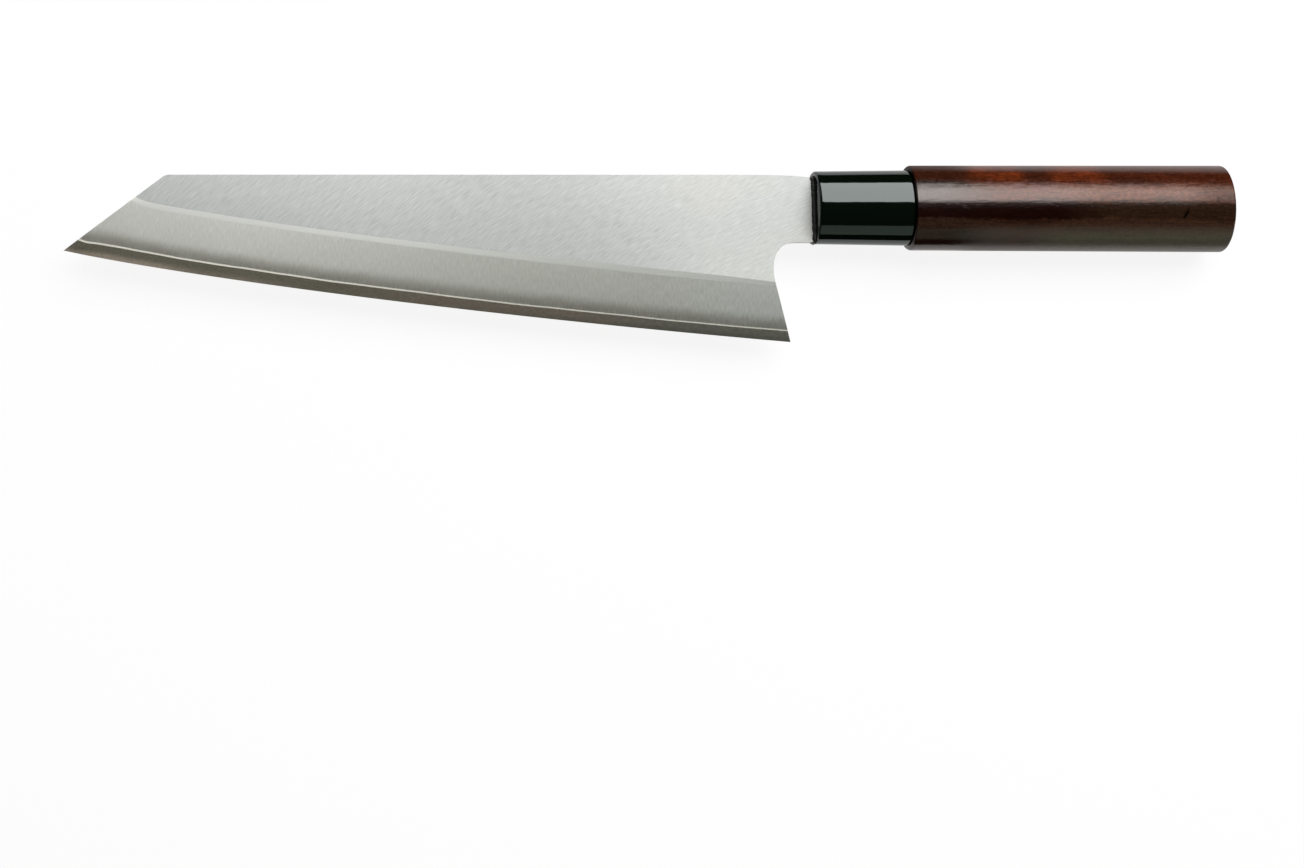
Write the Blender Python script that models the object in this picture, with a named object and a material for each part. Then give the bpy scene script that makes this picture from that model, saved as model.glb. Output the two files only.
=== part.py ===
"""Japanese kitchen knife with a clipped tip, a laminated blade and an oval handle in two parts.

The knife lies on its side. Its drawing plane is the blade's middle plane: x runs along the
handle's axis from 0 at the ferrule's front face, negative towards the tip, and y runs up
towards the spine. z is the height above the middle plane. The whole knife is then moved so
that the world origin is under the middle of its outline, on the surface it lies on.
Lengths are in metres.
"""

import math

import bmesh
import bpy
from mathutils import Vector

# Edge and heel: the edge is a slow curve that hangs below the straight line from tip to heel
EDGE_LENGTH = 0.2096
EDGE_CLIMB = math.radians(7.8)
EDGE_TIP_ANGLE = math.radians(5.7)
EDGE_TIP_REACH = 0.0234
EDGE_HEEL_ANGLE = math.radians(2.15)
EDGE_HEEL_REACH = 0.1127
HEEL_SETBACK = 0.0085
HEEL_DROP = 0.0407

# Spine, clipped tip and neck
SPINE_HEIGHT = 0.0097
SPINE_FALL = math.radians(0.39)
SPINE_EASE_LENGTH = 0.0166
SPINE_EASE_DROP = 0.0007
CLIP_ANGLE = math.radians(37.2)
CLIP_CORNER_RADIUS = 0.0033
NECK_DEPTH = 0.01055

# Choil: a straight cut up from the heel, then a curve into the neck
CHOIL_ANGLE = math.radians(14.4)
CHOIL_NECK_LENGTH = 0.0056
CHOIL_NECK_REACH = 0.0085
CHOIL_CUT_REACH = 0.0050

# Bevels, measured square to the edge
BEVEL_WIDTH = 0.0171
CORE_STRIP_WIDTH = 0.0034
CORE_STRIP_GROWTH = 0.0006

# Thickness of the laminated steel
NECK_THICKNESS = 0.0032
CORNER_THICKNESS = 0.0020
FLAT_THINNING = 0.0003
CORE_THICKNESS = 0.0008

# Tang inside the handle
TANG_LENGTH = 0.0960
TANG_ROOT_HEIGHT = 0.0100
TANG_END_HEIGHT = 0.0060
TANG_END_THICKNESS = 0.0022

# Oval handle: heights are across the blade's plane, thicknesses through it
HANDLE_FLATTENING = 0.66
FERRULE_LENGTH = 0.0305
FERRULE_FRONT_HEIGHT = 0.0221
FERRULE_REAR_HEIGHT = 0.0232
FERRULE_FRONT_ROUNDING = 0.0009
FERRULE_REAR_ROUNDING = 0.0003
FERRULE_FRONT_WALL = 0.0080
FERRULE_SIDE_WALL = 0.0027
WOOD_LENGTH = 0.1091
WOOD_FRONT_HEIGHT = 0.0261
WOOD_BUTT_HEIGHT = 0.0279
WOOD_LIP_ROUNDING = 0.0012
BUTT_ROUNDING = 0.0010

# Resin and fits
SEAL_THICKNESS = 0.0003
SEAL_BEAD = 0.0004
BEDDING_WALL = 0.0006
FIT_GAP = 0.0003

# Smoothness of the curves
EDGE_STEPS = 40
CURVE_STEPS = 10
OVAL_SIDES = 64
ROUNDING_STEPS = 4

SMOOTH_ANGLE = math.radians(30)


def clear_scene():
    for item in list(bpy.data.objects):
        bpy.data.objects.remove(item, do_unlink=True)


def finish_material(name, colour, roughness, metallic):
    material = bpy.data.materials.new(name)
    material.use_nodes = True
    shader = material.node_tree.nodes["Principled BSDF"]
    shader.inputs["Base Color"].default_value = (*colour, 1.0)
    shader.inputs["Roughness"].default_value = roughness
    shader.inputs["Metallic"].default_value = metallic
    material.diffuse_color = (*colour, 1.0)
    return material


def add_object(name, mesh, material, parent):
    piece = bpy.data.objects.new(name, mesh)
    bpy.context.scene.collection.objects.link(piece)
    piece.parent = parent
    if material:
        mesh.materials.append(material)
    return piece


def mesh_from(bm, name):
    mesh = bpy.data.meshes.new(name)
    bmesh.ops.recalc_face_normals(bm, faces=bm.faces)
    bm.to_mesh(mesh)
    bm.free()
    return mesh


def blend(start, end, share):
    return start + (end - start) * share


def cubic(points, share):
    rest = 1 - share
    first = points[0] * rest**3 + points[1] * (3 * rest**2 * share)
    return first + points[2] * (3 * rest * share**2) + points[3] * share**3


def direction(angle):
    return Vector((math.cos(angle), math.sin(angle)))


# Outline of the blade in the drawing plane

HEEL = Vector((-HEEL_SETBACK, -HEEL_DROP))
CHORD = direction(-EDGE_CLIMB)
TIP = HEEL - CHORD * EDGE_LENGTH
EDGE_POLE = (
    TIP,
    TIP + direction(-EDGE_CLIMB - EDGE_TIP_ANGLE) * EDGE_TIP_REACH,
    HEEL - direction(-EDGE_CLIMB + EDGE_HEEL_ANGLE) * EDGE_HEEL_REACH,
    HEEL,
)
CLIP_DIRECTION = direction(CLIP_ANGLE)
CHOIL_DIRECTION = direction(math.pi / 2 + CHOIL_ANGLE)
SHOULDER_X = -SEAL_THICKNESS


def edge_point(share):
    return cubic(EDGE_POLE, share)


def offset_point(share, width):
    """The point at this width from the edge, square to it, on the blade's side."""
    step = 1e-4
    along = (edge_point(share + step) - edge_point(share - step)).normalized()
    return edge_point(share) + Vector((-along.y, along.x)) * width(share)


def bevel_width(share):
    return BEVEL_WIDTH


def strip_width(share):
    return CORE_STRIP_WIDTH + CORE_STRIP_GROWTH * (1 - share) ** 2


def crossing(width, start, heading):
    """How far along the edge the offset line meets the straight cut that leaves start."""
    side = Vector((-heading.y, heading.x))
    low = 0.0
    high = 1.0
    low_is_left = (offset_point(low, width) - start).dot(side) > 0
    for _ in range(50):
        middle = (low + high) / 2
        if ((offset_point(middle, width) - start).dot(side) > 0) == low_is_left:
            low = middle
        else:
            high = middle
    return (low + high) / 2


def offset_line(width):
    """The offset line from the clipped tip to the choil."""
    first = crossing(width, TIP, CLIP_DIRECTION)
    last = crossing(width, HEEL, CHOIL_DIRECTION)
    shares = [blend(first, last, step / EDGE_STEPS) for step in range(EDGE_STEPS + 1)]
    return [offset_point(share, width) for share in shares]


def spine_height(x):
    """Height of the spine: a straight run, then a drop of constant radius to the ferrule."""
    start = SHOULDER_X - SPINE_EASE_LENGTH
    height = SPINE_HEIGHT + (x - start) * math.tan(SPINE_FALL)
    if x > start:
        height = SPINE_HEIGHT - SPINE_EASE_DROP * ((x - start) / SPINE_EASE_LENGTH) ** 2
    return height


def clip_corner():
    """The rounded corner where the clipped tip meets the spine."""
    slope = math.tan(SPINE_FALL)
    start_x = SHOULDER_X - SPINE_EASE_LENGTH
    rise = SPINE_HEIGHT + (TIP.x - start_x) * slope - TIP.y
    reach = rise / (math.tan(CLIP_ANGLE) - slope)
    corner = TIP + Vector((reach, reach * math.tan(CLIP_ANGLE)))
    turn = CLIP_ANGLE - SPINE_FALL
    setback = CLIP_CORNER_RADIUS * math.tan(turn / 2)
    start = corner - CLIP_DIRECTION * setback
    centre = start + Vector((CLIP_DIRECTION.y, -CLIP_DIRECTION.x)) * CLIP_CORNER_RADIUS
    angles = [blend(CLIP_ANGLE, SPINE_FALL, step / CURVE_STEPS) for step in range(CURVE_STEPS + 1)]
    return [centre + direction(angle + math.pi / 2) * CLIP_CORNER_RADIUS for angle in angles]


def spine_line():
    """The eased end of the spine, up to the neck's shoulder at the ferrule."""
    start = SHOULDER_X - SPINE_EASE_LENGTH
    places = [blend(start, SHOULDER_X, step / CURVE_STEPS) for step in range(CURVE_STEPS + 1)]
    return [Vector((x, spine_height(x))) for x in places]


def tang_half_height(x):
    share = (x - SHOULDER_X) / (TANG_LENGTH - SHOULDER_X)
    return blend(TANG_ROOT_HEIGHT, TANG_END_HEIGHT, share) / 2


def choil_line(cut_top):
    """The curve from the neck's underside into the straight cut of the choil."""
    neck = Vector((-CHOIL_NECK_LENGTH, -NECK_DEPTH))
    pole = (neck, neck - Vector((CHOIL_NECK_REACH, 0)), cut_top + CHOIL_DIRECTION * CHOIL_CUT_REACH, cut_top)
    return [cubic(pole, step / CURVE_STEPS) for step in range(CURVE_STEPS + 1)]


BEVEL_LINE = offset_line(bevel_width)
STRIP_LINE = offset_line(strip_width)
EDGE_LINE = [edge_point(step / EDGE_STEPS) for step in range(EDGE_STEPS + 1)]
SPINE_PART = clip_corner() + spine_line()
TANG_PART = [
    Vector((SHOULDER_X, tang_half_height(SHOULDER_X))),
    Vector((TANG_LENGTH, tang_half_height(TANG_LENGTH))),
    Vector((TANG_LENGTH, -tang_half_height(TANG_LENGTH))),
    Vector((SHOULDER_X, -tang_half_height(SHOULDER_X))),
]
NECK_PART = [Vector((SHOULDER_X, -NECK_DEPTH))] + choil_line(BEVEL_LINE[-1])


# Height of the blade's flat side above the middle plane

LENGTH_TAPER = (NECK_THICKNESS - CORNER_THICKNESS) / 2 / (SHOULDER_X - SPINE_PART[0].x)
DEPTH_TAPER = FLAT_THINNING / 2 / (SPINE_HEIGHT - BEVEL_LINE[-1].y)
TANG_TAPER = (NECK_THICKNESS - TANG_END_THICKNESS) / 2 / (TANG_LENGTH - SHOULDER_X)


def flat_height(point):
    """Half the blade's thickness on its flat, or the tang's behind the shoulder."""
    behind = point.x - SHOULDER_X
    height = NECK_THICKNESS / 2 - (SPINE_HEIGHT - point.y) * DEPTH_TAPER
    if behind > 0:
        return height - behind * TANG_TAPER
    return height + behind * LENGTH_TAPER


# Pieces of the blade

def plate_verts(bm, points, height):
    return [bm.verts.new((point.x, point.y, height(point))) for point in points]


def side_walls(bm, lower, upper):
    for index in range(len(lower) - 1):
        bm.faces.new((lower[index], lower[index + 1], upper[index + 1], upper[index]))


def strip_faces(bm, inner, outer):
    for index in range(len(inner) - 1):
        bm.faces.new((inner[index], inner[index + 1], outer[index + 1], outer[index]))


def blade_core(parent, material):
    """Hard steel plate between the claddings, ground to the edge below them."""
    bm = bmesh.new()
    rim = SPINE_PART + TANG_PART + NECK_PART
    half = CORE_THICKNESS / 2
    edge = plate_verts(bm, EDGE_LINE, lambda point: 0.0)
    plates = []
    for height in (half, -half):
        rim_verts = plate_verts(bm, rim, lambda point: height)
        strip_verts = plate_verts(bm, STRIP_LINE, lambda point: height)
        bm.faces.new(strip_verts + list(reversed(rim_verts)))
        strip_faces(bm, strip_verts, edge)
        plates.append([strip_verts[0]] + rim_verts + [strip_verts[-1]])
    side_walls(bm, plates[0], plates[1])
    bm.faces.new((plates[0][0], plates[1][0], edge[0]))
    bm.faces.new((plates[0][-1], plates[1][-1], edge[-1]))
    return add_object("blade_core", mesh_from(bm, "blade_core"), material, parent)


def cladding(name, side, parent, material):
    """Soft steel layer on one side of the core, flat above the bevel and ground away below."""
    bm = bmesh.new()
    inner_height = side * CORE_THICKNESS / 2
    spine_count = len(SPINE_PART)
    tang_count = len(TANG_PART)
    rim = [BEVEL_LINE[0]] + SPINE_PART + TANG_PART + NECK_PART
    inner = plate_verts(bm, rim, lambda point: inner_height)
    outer = plate_verts(bm, rim, lambda point: side * flat_height(point))
    strip = plate_verts(bm, STRIP_LINE, lambda point: inner_height)
    shoulder_line = plate_verts(bm, BEVEL_LINE[1:-1], lambda point: side * flat_height(point))
    bevel = [outer[0]] + shoulder_line + [outer[-1]]
    bm.faces.new(strip + list(reversed(inner)))
    strip_faces(bm, bevel, strip)
    side_walls(bm, inner, outer)
    bm.faces.new((strip[0], inner[0], outer[0]))
    bm.faces.new((strip[-1], inner[-1], outer[-1]))
    tang_start = 1 + spine_count
    tang_end = tang_start + tang_count
    tang = outer[tang_start:tang_end]
    blade_flat = outer[:tang_start] + [tang[0], tang[-1]] + outer[tang_end:-1]
    bm.faces.new(blade_flat + list(reversed(bevel[1:])))
    bm.faces.new(tang)
    return add_object(name, mesh_from(bm, name), material, parent)


# Pieces of the handle

def oval_ring(bm, x, half_height, inset=0.0):
    """A ring of the handle's oval, drawn in all round by the inset."""
    height = half_height - inset
    thickness = half_height * HANDLE_FLATTENING - inset
    turns = [2 * math.pi * index / OVAL_SIDES for index in range(OVAL_SIDES)]
    return [bm.verts.new((x, height * math.cos(turn), thickness * math.sin(turn))) for turn in turns]


def oval_skin(bm, rings):
    for first, second in zip(rings, rings[1:]):
        for index in range(OVAL_SIDES):
            following = (index + 1) % OVAL_SIDES
            bm.faces.new((first[index], first[following], second[following], second[index]))


def rounding(radius):
    """Pairs of setback and inset along a quarter circle, from the end face to the side."""
    turns = [math.pi / 2 * step / ROUNDING_STEPS for step in range(ROUNDING_STEPS + 1)]
    return [(radius * (1 - math.sin(turn)), radius * (1 - math.cos(turn))) for turn in reversed(turns)]


def oval_mesh(name, rings_at):
    """A closed solid through rings given as place, half height and inset, end to end."""
    bm = bmesh.new()
    rings = [oval_ring(bm, *ring) for ring in rings_at]
    oval_skin(bm, rings)
    bm.faces.new(rings[0])
    bm.faces.new(rings[-1])
    mesh = mesh_from(bm, name)
    mesh.shade_smooth()
    mesh.set_sharp_from_angle(angle=SMOOTH_ANGLE)
    return mesh


def rounded_ends(start, end, front_half, rear_half, front_radius, rear_radius):
    """Rings of a tapered oval side whose two rims are rounded."""
    def half(x):
        return blend(front_half, rear_half, (x - start) / (end - start))
    front = [(start + back, half(start + back), inset) for back, inset in rounding(front_radius)]
    rear = [(end - back, half(end - back), inset) for back, inset in reversed(rounding(rear_radius))]
    return front + rear


def wedge_mesh(name, start, end, start_half, end_half):
    """A straight tapered block: each half size is a pair of height and thickness."""
    bm = bmesh.new()
    corners = ((-1, -1), (1, -1), (1, 1), (-1, 1))
    rings = []
    for x, half in ((start, start_half), (end, end_half)):
        rings.append([bm.verts.new((x, up * half[0], out * half[1])) for up, out in corners])
    for index in range(4):
        following = (index + 1) % 4
        bm.faces.new((rings[0][index], rings[0][following], rings[1][following], rings[1][index]))
    bm.faces.new(rings[0])
    bm.faces.new(rings[1])
    return mesh_from(bm, name)


def cut(piece, cutter):
    cutter.hide_render = True
    cutter.display_type = "WIRE"
    boolean = piece.modifiers.new(cutter.name, "BOOLEAN")
    boolean.operation = "DIFFERENCE"
    boolean.solver = "EXACT"
    boolean.object = cutter


def tang_space(x, margin):
    """Half height and half thickness of the tang at x with a margin all round."""
    share = (x - SHOULDER_X) / (TANG_LENGTH - SHOULDER_X)
    thickness = blend(NECK_THICKNESS, TANG_END_THICKNESS, share) / 2
    return (tang_half_height(x) + margin, thickness + margin)


BORE_START = FERRULE_FRONT_WALL
SPIGOT_START = BORE_START + FIT_GAP
WOOD_START = FERRULE_LENGTH
BUTT_X = WOOD_START + WOOD_LENGTH


def ferrule(parent, material):
    """Black cap with a slot for the tang in front and a bore for the wood's spigot behind."""
    front_half = FERRULE_FRONT_HEIGHT / 2
    rear_half = FERRULE_REAR_HEIGHT / 2
    rims = (FERRULE_FRONT_ROUNDING, FERRULE_REAR_ROUNDING)
    rings = rounded_ends(0.0, FERRULE_LENGTH, front_half, rear_half, *rims)
    bore_half = blend(front_half, rear_half, BORE_START / FERRULE_LENGTH)
    rings.append((FERRULE_LENGTH, rear_half, FERRULE_SIDE_WALL))
    rings.append((BORE_START, bore_half, FERRULE_SIDE_WALL))
    piece = add_object("ferrule", oval_mesh("ferrule", rings), material, parent)
    ends = (-FERRULE_FRONT_WALL, 2 * BORE_START)
    root = tang_space(0.0, FIT_GAP)
    slot = wedge_mesh("tang_slot_cutter", *ends, root, root)
    cut(piece, add_object("tang_slot_cutter", slot, None, parent))
    return piece


def handle_wood(parent, material):
    """Lacquered oval wood with a spigot in front that fills the ferrule's bore."""
    lip_half = WOOD_FRONT_HEIGHT / 2
    butt_half = WOOD_BUTT_HEIGHT / 2
    front_half = FERRULE_FRONT_HEIGHT / 2
    rear_half = FERRULE_REAR_HEIGHT / 2
    spigot_inset = FERRULE_SIDE_WALL + FIT_GAP
    spigot_half = blend(front_half, rear_half, SPIGOT_START / FERRULE_LENGTH)
    rings = [(SPIGOT_START, spigot_half, spigot_inset), (WOOD_START, rear_half, spigot_inset)]
    rings += rounded_ends(WOOD_START, BUTT_X, lip_half, butt_half, WOOD_LIP_ROUNDING, BUTT_ROUNDING)
    piece = add_object("handle_wood", oval_mesh("handle_wood", rings), material, parent)
    margin = BEDDING_WALL + 2 * FIT_GAP
    hole_start = SPIGOT_START - FIT_GAP
    hole_end = TANG_LENGTH + margin
    hole = wedge_mesh(
        "tang_hole_cutter", hole_start, hole_end, tang_space(hole_start, margin), tang_space(hole_end, margin)
    )
    cut(piece, add_object("tang_hole_cutter", hole, None, parent))
    return piece


def tang_bedding(parent, material):
    """Resin sleeve that glues the tang into the wood, closed at the tang's end."""
    start = SPIGOT_START + FIT_GAP
    outer_end = TANG_LENGTH + FIT_GAP + BEDDING_WALL
    margin = FIT_GAP + BEDDING_WALL
    sleeve = wedge_mesh(
        "tang_bedding", start, outer_end, tang_space(start, margin), tang_space(outer_end, margin)
    )
    piece = add_object("tang_bedding", sleeve, material, parent)
    inner_start = start - BEDDING_WALL
    inner_end = TANG_LENGTH + FIT_GAP
    pocket = wedge_mesh(
        "tang_pocket_cutter",
        inner_start,
        inner_end,
        tang_space(inner_start, FIT_GAP),
        tang_space(inner_end, FIT_GAP),
    )
    cut(piece, add_object("tang_pocket_cutter", pocket, None, parent))
    return piece


def neck_seal(parent, material):
    """Flat bead of black resin between the neck's shoulder and the ferrule's face."""
    bm = bmesh.new()
    outer_thickness = NECK_THICKNESS / 2 + SEAL_BEAD
    inner_height, inner_thickness = tang_space(SHOULDER_X, SEAL_BEAD / 4)
    top = spine_height(SHOULDER_X) + SEAL_BEAD
    bottom = -NECK_DEPTH - SEAL_BEAD
    outer = ((bottom, -outer_thickness), (top, -outer_thickness), (top, outer_thickness), (bottom, outer_thickness))
    inner = (
        (-inner_height, -inner_thickness),
        (inner_height, -inner_thickness),
        (inner_height, inner_thickness),
        (-inner_height, inner_thickness),
    )
    loops = []
    for x in (SHOULDER_X, 0.0):
        loops.append([[bm.verts.new((x, y, z)) for y, z in ring] for ring in (outer, inner)])
    for index in range(4):
        following = (index + 1) % 4
        for outside, inside in loops:
            bm.faces.new((outside[index], outside[following], inside[following], inside[index]))
        for front, back in zip(loops[0], loops[1]):
            bm.faces.new((front[index], front[following], back[following], back[index]))
    return add_object("neck_seal", mesh_from(bm, "neck_seal"), material, parent)


def knife_place():
    """Where the drawing's origin lies, so that the knife rests on z = 0 about the origin."""
    middle_x = (TIP.x + BUTT_X) / 2
    middle_y = (WOOD_BUTT_HEIGHT / 2 - HEEL_DROP) / 2
    rest_height = WOOD_BUTT_HEIGHT / 2 * HANDLE_FLATTENING
    return (-middle_x, -middle_y, rest_height)


def build_knife():
    clear_scene()
    core_steel = finish_material("core_steel", (0.10, 0.098, 0.085), 0.38, 1.0)
    clad_steel = finish_material("clad_steel", (0.60, 0.61, 0.60), 0.36, 1.0)
    black_plastic = finish_material("black_plastic", (0.004, 0.006, 0.005), 0.12, 0.0)
    red_wood = finish_material("red_wood", (0.062, 0.018, 0.012), 0.28, 0.0)
    clear_resin = finish_material("clear_resin", (0.30, 0.24, 0.14), 0.45, 0.0)
    black_resin = finish_material("black_resin", (0.010, 0.010, 0.009), 0.40, 0.0)
    knife = bpy.data.objects.new("knife", None)
    bpy.context.scene.collection.objects.link(knife)
    knife.location = knife_place()
    blade_core(knife, core_steel)
    cladding("cladding_left", 1, knife, clad_steel)
    cladding("cladding_right", -1, knife, clad_steel)
    neck_seal(knife, black_resin)
    ferrule(knife, black_plastic)
    handle_wood(knife, red_wood)
    tang_bedding(knife, clear_resin)


build_knife()
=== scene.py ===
"""A long Japanese kitchen knife with a clipped tip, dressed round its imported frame.

Lengths are in metres. The knife is drawn in its own plane: x runs along the handle's axis from
0 at the ferrule's front face, negative towards the tip, y runs up towards the spine, and z is
the height above the blade's middle plane. Each finished mesh is then moved to where the frame
has the knife, lying on its right side on z = 0.
"""
import math

import bmesh
import bpy
from mathutils import Matrix, Vector, noise


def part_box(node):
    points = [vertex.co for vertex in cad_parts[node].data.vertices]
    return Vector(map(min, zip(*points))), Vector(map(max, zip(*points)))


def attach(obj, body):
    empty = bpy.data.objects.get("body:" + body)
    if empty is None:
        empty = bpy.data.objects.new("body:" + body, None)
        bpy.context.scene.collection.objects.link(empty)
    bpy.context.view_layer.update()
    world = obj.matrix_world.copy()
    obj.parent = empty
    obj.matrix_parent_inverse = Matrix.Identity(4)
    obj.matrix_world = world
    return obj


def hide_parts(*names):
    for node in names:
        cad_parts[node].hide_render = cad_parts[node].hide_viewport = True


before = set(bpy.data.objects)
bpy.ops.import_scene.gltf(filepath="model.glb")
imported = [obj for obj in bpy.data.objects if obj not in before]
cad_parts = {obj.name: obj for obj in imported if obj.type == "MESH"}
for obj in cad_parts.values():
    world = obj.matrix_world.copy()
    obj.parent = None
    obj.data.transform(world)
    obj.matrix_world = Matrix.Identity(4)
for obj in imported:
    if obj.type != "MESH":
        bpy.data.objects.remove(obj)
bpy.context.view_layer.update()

scene = bpy.context.scene
scene.view_settings.view_transform = "Standard"

ferrule_low, ferrule_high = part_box("ferrule")
handle_axis = (ferrule_low + ferrule_high) / 2
KNIFE_PLACE = Matrix.Translation((ferrule_low.x, handle_axis.y, handle_axis.z))


# The studio: the knife lies on a white table, seen from above with the camera a little towards
# the tip. A large soft box stands on the spine's side and a weak panel on the edge's side. Low
# black cards that only reflections see keep the gloss clean, and the air above is left dark.
PHOTO_WIDTH = 1304
FOCAL_LENGTH_IN_PIXELS = 1640
SENSOR_WIDTH = 36.0
VIEW_RIGHT = (0.97109, -0.03079, 0.23673)
VIEW_UP = (0.02991, 0.99953, 0.00729)
VIEW_BACK = (-0.23684, 0.0, 0.97155)
VIEW_PLACE = Vector((-0.16771, -0.06723, 0.47247))

lens = bpy.data.cameras.new("studio_camera")
lens.sensor_width = SENSOR_WIDTH
lens.lens = FOCAL_LENGTH_IN_PIXELS * SENSOR_WIDTH / PHOTO_WIDTH
camera = bpy.data.objects.new("studio_camera", lens)
scene.collection.objects.link(camera)
view_turn = Matrix((VIEW_RIGHT, VIEW_UP, VIEW_BACK)).transposed().to_4x4()
camera.matrix_world = KNIFE_PLACE @ Matrix.Translation(VIEW_PLACE) @ view_turn
scene.camera = camera


class Wire:
    """One output of a node. Arithmetic on it adds Math nodes to the same tree."""

    def __init__(self, board, socket):
        self.board = board
        self.socket = socket

    def __add__(self, other):
        return self.board.maths("ADD", self, other)

    def __radd__(self, other):
        return self.board.maths("ADD", other, self)

    def __sub__(self, other):
        return self.board.maths("SUBTRACT", self, other)

    def __rsub__(self, other):
        return self.board.maths("SUBTRACT", other, self)

    def __mul__(self, other):
        return self.board.maths("MULTIPLY", self, other)

    def __rmul__(self, other):
        return self.board.maths("MULTIPLY", other, self)

    def __truediv__(self, other):
        return self.board.maths("DIVIDE", self, other)

    def __rtruediv__(self, other):
        return self.board.maths("DIVIDE", other, self)

    def rise(self, start, end):
        """0 below start and 1 above end, with a smooth step between them."""
        settings = {"interpolation_type": "SMOOTHSTEP"}
        return self.board.node("ShaderNodeMapRange", settings, {0: self, 1: start, 2: end})


class Board:
    """A node tree while it is wired up."""

    def __init__(self, tree):
        self.tree = tree

    def plug(self, socket, value):
        if isinstance(value, Wire):
            self.tree.links.new(value.socket, socket)
        elif socket.type == "RGBA":
            socket.default_value = (*value, 1.0)
        else:
            socket.default_value = value

    def node(self, kind, settings=None, values=None, out=0):
        """Adds a node, sets it up, feeds its inputs and returns one of its outputs, if any."""
        made = self.tree.nodes.new(kind)
        for name, setting in (settings or {}).items():
            setattr(made, name, setting)
        for name, value in (values or {}).items():
            self.plug(made.inputs[name], value)
        return Wire(self, made.outputs[out]) if made.outputs else None

    def maths(self, operation, *values):
        return self.node("ShaderNodeMath", {"operation": operation}, dict(enumerate(values)))

    def clamp(self, value):
        return self.node("ShaderNodeClamp", values={"Value": value})

    def axis(self, vector, name):
        return self.node("ShaderNodeSeparateXYZ", values={0: vector}, out=name)

    def vector(self, **axes):
        return self.node("ShaderNodeCombineXYZ", values=axes)

    def shade(self, colour, strength):
        """A colour made lighter or darker."""
        values = {0: colour, "Scale": strength}
        return self.node("ShaderNodeVectorMath", {"operation": "SCALE"}, values)

    def mix(self, share, first, second):
        """Mixes two colours, which the Mix node takes on its sockets 6 and 7."""
        values = {0: share, 6: first, 7: second}
        return self.node("ShaderNodeMix", {"data_type": "RGBA"}, values, 2)

    def noise(self, vector, scale, detail=2.0, roughness=0.5):
        values = {"Vector": vector, "Scale": scale, "Detail": detail, "Roughness": roughness}
        return self.node("ShaderNodeTexNoise", values=values)


class Finish(Board):
    """A material on one Principled shader, with its constant values set on the shader."""

    def __init__(self, name, constants):
        self.material = bpy.data.materials.new(name)
        self.material.use_nodes = True
        super().__init__(self.material.node_tree)
        self.shader = self.tree.nodes["Principled BSDF"]
        self.feed(constants)

    def feed(self, values):
        for name, value in values.items():
            self.plug(self.shader.inputs[name], value)

    def relief(self, height, depth):
        """Feeds the shader's normal with a height from 0 to 1 that is this many metres deep."""
        values = {"Height": height, "Distance": depth, "Strength": 1.0}
        self.feed({"Normal": self.node("ShaderNodeBump", values=values)})

    def object_place(self):
        return self.node("ShaderNodeTexCoord", out="Object")

    def overlay(self, share, shader):
        """Shows another shader in place of the first, by a share from 0 to 1."""
        first = Wire(self, self.shader.outputs[0])
        mixed = self.node("ShaderNodeMixShader", values={0: share, 1: first, 2: shader})
        self.plug(self.tree.nodes["Material Output"].inputs["Surface"], mixed)


def soft_panel(name, lowest, highest, left, right, radiance, tint=(1.0, 1.0, 1.0)):
    """A soft box 1 m away. It fills these angles, in degrees from straight up towards the
    spine's side, and reaches from left to right in metres."""
    lowest, highest = math.radians(lowest), math.radians(highest)
    angle = (lowest + highest) / 2
    height = 2 * math.tan((highest - lowest) / 2)
    width = right - left
    panel = bpy.data.lights.new(name, "AREA")
    panel.shape = "RECTANGLE"
    panel.color = tint
    panel.size = width
    panel.size_y = height
    panel.energy = radiance * math.pi * width * height
    lamp = bpy.data.objects.new(name, panel)
    lamp.location = KNIFE_PLACE @ Vector(((left + right) / 2, math.sin(angle), math.cos(angle)))
    lamp.rotation_euler = (-angle, 0, 0)
    lamp.visible_camera = False
    scene.collection.objects.link(lamp)


PALE_GREEN = (0.82, 1.0, 0.84)
soft_panel("spine_side_soft_box", 13.5, 61.0, -0.40, 1.40, 5.0)
soft_panel("edge_side_panel", -71.0, -39.5, -0.70, 0.90, 0.46, PALE_GREEN)

FELT = {"Base Color": (0.004, 0.004, 0.004), "Roughness": 1.0, "Specular IOR Level": 0.0}


def black_card(name, start, end, height):
    """An upright card from start to end on the table, for reflections alone."""
    foot = -KNIFE_PLACE.translation.z
    top = foot + height
    corners = [(*start, foot), (*end, foot), (*end, top), (*start, top)]
    mesh = bpy.data.meshes.new(name)
    mesh.from_pydata([KNIFE_PLACE @ Vector(corner) for corner in corners], [], [(0, 1, 2, 3)])
    card = bpy.data.objects.new(name, mesh)
    scene.collection.objects.link(card)
    for kind in ("camera", "diffuse", "shadow", "transmission"):
        setattr(card, "visible_" + kind, False)
    mesh.materials.append(Finish(name + "_felt", FELT).material)


black_card("spine_side_card", (-0.40, 0.078), (0.34, 0.078), 0.043)
black_card("edge_side_card", (-0.40, -0.082), (0.34, -0.082), 0.0385)
black_card("tip_side_card", (-0.33, -0.20), (-0.33, 0.120), 0.16)

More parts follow.
